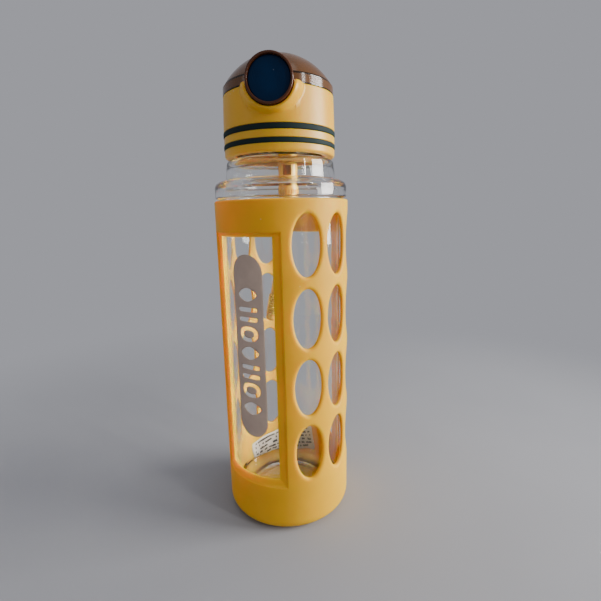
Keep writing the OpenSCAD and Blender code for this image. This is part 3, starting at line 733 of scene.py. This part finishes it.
def print_grids(s):
    """The frosted print as one film: solid round ends, and between them a stack of cells, each with a plain
    cut-out (a leaf, a ring or two bars) about its own middle."""
    radius = s.glass_radius / MM + FILM_LIFT
    grids, z0, pitch = [], 64.0, 10.0
    xs = np.linspace(-PRINT_HALF, PRINT_HALF, 25)

    def lay(x, z):
        return around(PRINT_AZ + np.degrees(x / radius), z, radius)

    def cell(low, height, shapes):
        bx, bz = frame_line(xs, np.linspace(-height / 2, height / 2, 17))
        t = np.arctan2(bz / height, bx / (2 * PRINT_HALF))
        t = np.arctan2(np.sin(t) * shapes[0][1], np.cos(t) * shapes[0][0])
        k = np.linspace(0, 1, 5)[None, :]
        r = superellipse(t, *shapes[0])
        middle = low + height / 2
        hx, hz = r * np.cos(t), r * np.sin(t)
        grids.append((lay(bx[:, None] + (hx - bx)[:, None] * k,
                          middle + bz[:, None] + (hz - bz)[:, None] * k), True))
        if len(shapes) > 1:
            t = np.linspace(0, 2 * np.pi, 49)[:-1]
            r = superellipse(t, *shapes[1])[:, None] * np.linspace(1, 0, 4)[None, :]
            grids.append((lay(r * np.cos(t)[:, None], middle + r * np.sin(t)[:, None]), True))

    for k in range(7):
        low = z0 + pitch * k
        if k % 3 == 0:
            cell(low, pitch, [(5.4, 3.4, 1.5)])
        elif k % 3 == 1:
            cell(low, pitch, [(5.4, 3.9, 2.3), (3.3, 2.0, 2.3)])
        else:
            cell(low, pitch / 2, [(5.4, 1.1, 6)])
            cell(low + pitch / 2, pitch / 2, [(5.4, 1.1, 6)])
    for near, far in ((z0, PRINT_Z[0]), (z0 + 7 * pitch, PRINT_Z[1])):
        side = 1 if far > near else -1
        turn = np.radians(np.linspace(0, 90, 13))
        centre = far - side * PRINT_HALF
        z = np.concatenate([np.linspace(near, centre, 4)[:-1], centre + side * PRINT_HALF * np.sin(turn)])
        w = np.concatenate([np.full(3, PRINT_HALF), PRINT_HALF * np.cos(turn)])
        grids.append((lay(w[:, None] * xs[None, :] / PRINT_HALF, z[:, None] + 0 * xs[None, :]), False))
    return grids


LABEL_AZ, LABEL_Z, LABEL_TILT, LABEL_HALF, LABEL_FOOT = 195.0, 15.5, -10.0, (24.0, 8.8), 8.6
LABEL_ROW, LABEL_DASH, LABEL_SHIFT = 2.6, 1.1, 7.3  # row pitch, dash length, each row's shift


def label_grids(s):
    """The paper label: a rounded rectangle laid on the glass at a slight tilt, cut off at the glass's
    rounding."""
    radius = s.glass_radius / MM + FILM_LIFT
    u, v = np.linspace(-1, 1, 49)[:, None], np.linspace(-1, 1, 17)[None, :]
    w, h = LABEL_HALF
    corner = 1.6
    inset = np.clip(np.abs(u) * w - (w - corner), 0, corner)
    tall = h - corner + np.sqrt(np.maximum(corner ** 2 - inset ** 2, 0))
    x, z = w * u + 0 * v, tall * v
    a = math.radians(LABEL_TILT)
    return [(around(LABEL_AZ + np.degrees((x * math.cos(a) - z * math.sin(a)) / radius),
                    np.maximum(LABEL_Z + x * math.sin(a) + z * math.cos(a), LABEL_FOOT), radius), False)]


def film(obj, thickness):
    """Gives a single skin its thickness, inward."""
    solidify = obj.modifiers.new("Film", "SOLIDIFY")
    solidify.thickness, solidify.offset = thickness * MM, -1.0
    return obj


# ---------------------------------------------------------------- operators


THREAD_START, THREAD_PITCH, THREAD_TURNS, THREAD_HALF, THREAD_CREST = 200, 4, 1.25, 0.9, 1.2


def settings(context):
    """The sizes and the colours of this scene."""
    return context.scene.bottle_sizes, context.scene.bottle_colours


class BOTTLE_OT_glass(bpy.types.Operator):
    """Make the glass body with its shoulder ring, collar and threaded neck"""

    bl_idname = "bottle.glass"
    bl_label = "Glass Body"

    def execute(self, context):
        s, c = settings(context)
        grid = revolved(glass_line(s), 180)
        z, radius = grid[..., 2], np.hypot(grid[..., 0], grid[..., 1])
        turn = np.degrees(np.arctan2(grid[..., 1], grid[..., 0]))
        neck = s.neck_radius / MM
        on_neck = (radius > neck - 0.01) & (z > 196) & (z < 210.6)
        lift = 1 + on_neck * thread_height(
            turn, z, THREAD_START, THREAD_PITCH, THREAD_TURNS, THREAD_HALF) * THREAD_CREST / neck
        grid[..., :2] *= lift[..., None]
        piece("glass_body", [(grid, True)], "bottle", clear_glass(c), ["glass_bottle"])
        return {"FINISHED"}


class BOTTLE_OT_sleeve(bpy.types.Operator):
    """Make the silicone sleeve with its two windows and rolled oval openings"""

    bl_idname = "bottle.sleeve"
    bl_label = "Silicone Sleeve"

    def execute(self, context):
        s, c = settings(context)
        piece("sleeve", sleeve_grids(s), "bottle", silicone(c), ["silicone_sleeve"])
        return {"FINISHED"}


class BOTTLE_OT_print(bpy.types.Operator):
    """Lay the frosted print and the paper label on the glass"""

    bl_idname = "bottle.print"
    bl_label = "Print and Label"

    def execute(self, context):
        s, c = settings(context)
        film(piece("glass_print", print_grids(s), "bottle", print_ink(c), ["print_panel"],
                   closed=False), FILM)
        label = piece("paper_label", label_grids(s), "bottle", label_paper(c), ["base_label"],
                      closed=False)
        mesh = label.data
        corners = np.zeros(len(mesh.loops), np.int32)
        mesh.loops.foreach_get("vertex_index", corners)
        co = np.zeros(len(mesh.vertices) * 3)
        mesh.vertices.foreach_get("co", co)
        co = co.reshape(-1, 3)[corners] / MM
        swing = (np.degrees(np.arctan2(co[:, 0], -co[:, 1])) - LABEL_AZ + 180) % 360 - 180
        x, z = np.radians(swing) * s.glass_radius / MM, co[:, 2] - LABEL_Z
        a = math.radians(LABEL_TILT)
        uv = np.stack([x * math.cos(a) + z * math.sin(a), z * math.cos(a) - x * math.sin(a)], 1)
        mesh.uv_layers.new(name="UVMap").uv.foreach_set("vector", uv.astype(np.float32).ravel())
        film(label, FILM)
        return {"FINISHED"}


class BOTTLE_OT_cap(bpy.types.Operator):
    """Finish the cap and make its two bands"""

    bl_idname = "bottle.cap"
    bl_label = "Cap and Bands"

    def execute(self, context):
        s, c = settings(context)
        finish_nodes(cap_plastic(c), "spout_collar")
        lug = lug_outline()
        piece("cap_shell", [(cap_grid(s), True)] + [(slab(lug, *sorted(side * np.array([5.2, 9.7]))), True)
                                                    for side in (-1, 1)],
              "cap", cap_plastic(c), ["cap_body"], sharp=42)
        finish_nodes(thread_plastic(c), "thread_insert")
        proud = s.cap_radius / MM + s.band_proud / MM
        for name, node, low, high in (("band_upper", "upper_band", *UPPER_BAND),
                                      ("band_lower", "lower_band", *LOWER_BAND)):
            root = proud - 1.15
            line = rounded_line([(root, low + 1, 0), (root, low, 0.1), (proud, low, 0.5), (proud, high, 0.5),
                                 (root, high, 0.1), (root, low + 1, 0)])
            piece(name, [(revolved(line), True)], "cap", band_rubber(c), [node])
        return {"FINISHED"}


class BOTTLE_OT_cover(bpy.types.Operator):
    """Finish the domed cover"""

    bl_idname = "bottle.cover"
    bl_label = "Domed Cover"

    def execute(self, context):
        c = settings(context)[1]
        finish_nodes(smoke_plastic(c), "dome_cover")
        finish_nodes(soft_silicone(), "cover_seal")
        return {"FINISHED"}


class BOTTLE_OT_button(bpy.types.Operator):
    """Make the push button and the ring round it"""

    bl_idname = "bottle.button"
    bl_label = "Push Button"

    def execute(self, context):
        s, c = settings(context)
        r, ring = s.button_radius / MM, s.ring_radius / MM
        line = rounded_line([(0, -31.6, 0), (r * 0.5, -31.47, 20), (r, -31.1, 0.5), (r, -30, 0.3),
                             (2, -30, 0.2), (2, -17.4, 0.2), (0, -17.4, 0)], steps=8, spacing=0.8)
        piece("push_button", [(along_y(revolved(line, 128), BUTTON_Z), True)], "push_button",
              button_plastic(c), ["button"])
        line = rounded_line([(ring, -29, 0), (ring, -32.6, 0.55), (r + 0.06, -32.6, 0.3),
                             (r + 0.06, -27.6, 0.2),
                             (4.6, -27.6, 0.2), (4.6, -21.3, 0.1), (2.05, -21.3, 0.1), (2.05, -20.4, 0.1),
                             (5.5, -20.4, 0.3), (5.5, -26.8, 0.2), (ring, -26.8, 0.3), (ring, -29, 0)],
                            spacing=0.8)
        piece("button_ring", [(along_y(revolved(line, 128), BUTTON_Z), True)], "cover",
              ring_plastic(c), ["button_housing"])
        return {"FINISHED"}


def finish_nodes(material, *names):
    """Gives CAD nodes a finish through their material slots."""
    for name in names:
        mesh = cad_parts[name].data
        if not mesh.materials:
            mesh.materials.append(material)
        for slot in range(len(mesh.materials)):
            mesh.materials[slot] = material


class BOTTLE_OT_drinking(bpy.types.Operator):
    """Finish the spout, the straw, the valve and the gasket"""

    bl_idname = "bottle.drinking"
    bl_label = "Spout and Straw"

    def execute(self, context):
        c = settings(context)[1]
        finish_nodes(soft_silicone(), "spout", "vent_valve", "neck_gasket")
        finish_nodes(straw_plastic(c), "straw_stem", "straw", "straw_tip")
        return {"FINISHED"}


class BOTTLE_OT_hardware(bpy.types.Operator):
    """Finish the latch, the hinge pin and the springs"""

    bl_idname = "bottle.hardware"
    bl_label = "Latch, Pin and Springs"

    def execute(self, context):
        finish_nodes(dark_plastic(), "latch_catch", "latch_hook")
        finish_nodes(steel(), "hinge_pin", "hinge_spring", "button_spring")
        return {"FINISHED"}


TURN = math.radians(7.0)  # the bottle's turn about Z, as the camera sees it
SENSOR_MM, LENS_MM = 36, 23.9600666
CAMERA_PLACE = (0, -0.21978, 0.165621)
CAMERA_PITCH, CAMERA_ROLL, CAMERA_YAW = 0.2058277, -0.0203164, 0.0416838  # radians
FLOOR_HALF, FLOOR_POINTS, FLOOR_DROP = 3.0, 25, 0.00004
FADE_NEAR, FADE_FAR = 0.12, 0.45  # distances between which the floor fades
ROOM = (0.358, 0.362, 0.396, 1.0)  # the grey of the room, which the floor fades into


def placed(x, y, z):
    """A point given with the camera straight ahead, in metres, turned into the frame."""
    return (x * math.cos(TURN) - y * math.sin(TURN), x * math.sin(TURN) + y * math.cos(TURN), z)


def soft_light(name, azimuth, elevation, distance, size, watts, colour=(1.0, 1.0, 1.0)):
    """A rectangular area light aimed at the middle of the bottle, with its azimuth from the camera toward
    the right. The camera doesn't see it."""
    data = bpy.data.lights.new(name, "AREA")
    data.shape, data.energy, data.color = "RECTANGLE", watts, colour
    data.size, data.size_y = size
    light = bpy.data.objects.new(name, data)
    a, e = math.radians(azimuth), math.radians(elevation)
    way = np.array(placed(math.sin(a) * math.cos(e), -math.cos(a) * math.cos(e), math.sin(e)))
    back = Matrix(np.array([np.cross([0, 0, 1], way) / math.cos(e),
                            np.cross(way, np.cross([0, 0, 1], way)) / math.cos(e), way]).T.tolist())
    light.matrix_world = Matrix.Translation(way * distance + np.array([0, 0, 0.12])) @ back.to_4x4()
    light.visible_camera = False
    bpy.context.scene.collection.objects.link(light)


class BOTTLE_OT_stage(bpy.types.Operator):
    """Set the floor, the soft light and the camera"""

    bl_idname = "bottle.stage"
    bl_label = "Floor, Light and Camera"

    def execute(self, context):
        scene = context.scene
        u = np.linspace(-1, 1, FLOOR_POINTS)
        x, y = np.meshgrid(u ** 3 * FLOOR_HALF, u ** 3 * FLOOR_HALF, indexing="ij")
        grid = np.stack([x, y, 0 * x - FLOOR_DROP], -1)
        mesh = bpy.data.meshes.new("floor")
        mesh.from_pydata(grid.reshape(-1, 3).tolist(), [],
                         quads(FLOOR_POINTS, FLOOR_POINTS, False)[:, ::-1].tolist())
        floor = bpy.data.objects.new("floor", mesh)
        scene.collection.objects.link(floor)

        def build(tree, where, uv):
            cloud = place(tree, tone_drift(), Vector=where, Scale=6.0, Main=(0.345, 0.35, 0.376, 1.0),
                          Second=(0.325, 0.33, 0.356, 1.0))["Colour"]
            grain = place(tree, fine_grain(), Vector=where, Scale=900.0)
            reach = add(tree, "VectorMath", {"operation": "LENGTH"}, i0=where).outputs["Value"]
            far = spread(tree, reach, FADE_NEAR, FADE_FAR)
            return {"Base Color": blended(tree, far, cloud, (0.0, 0.0, 0.0, 1.0)), "Emission Strength": far,
                    "Specular IOR Level": spread(tree, far, 0.0, 1.0, 0.2, 0.0),
                    "Roughness": spread(tree, grain["Mottle"], 0.3, 0.7, 0.7, 0.9)}
        mesh.materials.append(finish("Pale floor", build, Emission_Color=ROOM))
        world = bpy.data.worlds.new("Soft room")
        world.use_nodes = True
        world.node_tree.nodes["Background"].inputs["Color"].default_value = ROOM
        world.node_tree.nodes["Background"].inputs["Strength"].default_value = 1.0
        scene.world = world
        soft_light("Window right", 84, 12, 1.0, (0.5, 0.5), 20, (1.0, 0.98, 0.94))
        soft_light("Window edge", 52, 22, 1.0, (0.05, 0.35), 2.2, (1.0, 0.98, 0.95))
        soft_light("Window left", -68, 26, 1.2, (0.035, 0.2), 0.3, (0.9, 0.95, 1.0))
        soft_light("Overhead", 20, 78, 1.2, (0.8, 0.8), 1.8)
        data = bpy.data.cameras.new("View")
        data.lens, data.sensor_width, data.clip_start = LENS_MM, SENSOR_MM, 0.01
        pitch, roll, yaw = CAMERA_PITCH, CAMERA_ROLL, CAMERA_YAW
        ahead = np.array([math.sin(yaw) * math.cos(pitch), math.cos(yaw) * math.cos(pitch), -math.sin(pitch)])
        right = np.array([math.cos(yaw), -math.sin(yaw), 0])
        up = np.cross(right, ahead)
        side = math.cos(roll) * right + math.sin(roll) * up
        top = -math.sin(roll) * right + math.cos(roll) * up
        axes = np.array([placed(*side), placed(*top), placed(*(-ahead))]).T
        camera = bpy.data.objects.new("View", data)
        camera.matrix_world = Matrix.Translation(placed(*CAMERA_PLACE)) @ Matrix(axes.tolist()).to_4x4()
        scene.collection.objects.link(camera)
        scene.camera = camera
        return {"FINISHED"}


class BOTTLE_PT_panel(bpy.types.Panel):
    """The bottle's pieces, sizes and colours"""

    bl_idname = "BOTTLE_PT_panel"
    bl_label = "Sleeved Bottle"
    bl_space_type = "VIEW_3D"
    bl_region_type = "UI"
    bl_category = "Bottle"

    def draw(self, context):
        for operator in OPERATORS:
            self.layout.operator(operator.bl_idname)
        for group in settings(context):
            box = self.layout.box()
            for name in group.__annotations__:
                box.prop(group, name)


OPERATORS = (BOTTLE_OT_glass, BOTTLE_OT_sleeve, BOTTLE_OT_print, BOTTLE_OT_cap, BOTTLE_OT_cover,
             BOTTLE_OT_button, BOTTLE_OT_drinking, BOTTLE_OT_hardware, BOTTLE_OT_stage)
CLASSES = (BottleSizes, BottleColours) + OPERATORS + (BOTTLE_PT_panel,)


def register():
    for cls in CLASSES:
        bpy.utils.register_class(cls)
    bpy.types.Scene.bottle_sizes = bpy.props.PointerProperty(type=BottleSizes)
    bpy.types.Scene.bottle_colours = bpy.props.PointerProperty(type=BottleColours)


def unregister():
    del bpy.types.Scene.bottle_sizes, bpy.types.Scene.bottle_colours
    for cls in reversed(CLASSES):
        bpy.utils.unregister_class(cls)


def main():
    """Builds every piece in order."""
    register()
    bpy.ops.bottle.glass()
    bpy.ops.bottle.sleeve()
    bpy.ops.bottle.print()
    bpy.ops.bottle.cap()
    bpy.ops.bottle.cover()
    bpy.ops.bottle.button()
    bpy.ops.bottle.drinking()
    bpy.ops.bottle.hardware()
    bpy.ops.bottle.stage()


if __name__ == "__main__":
    main()
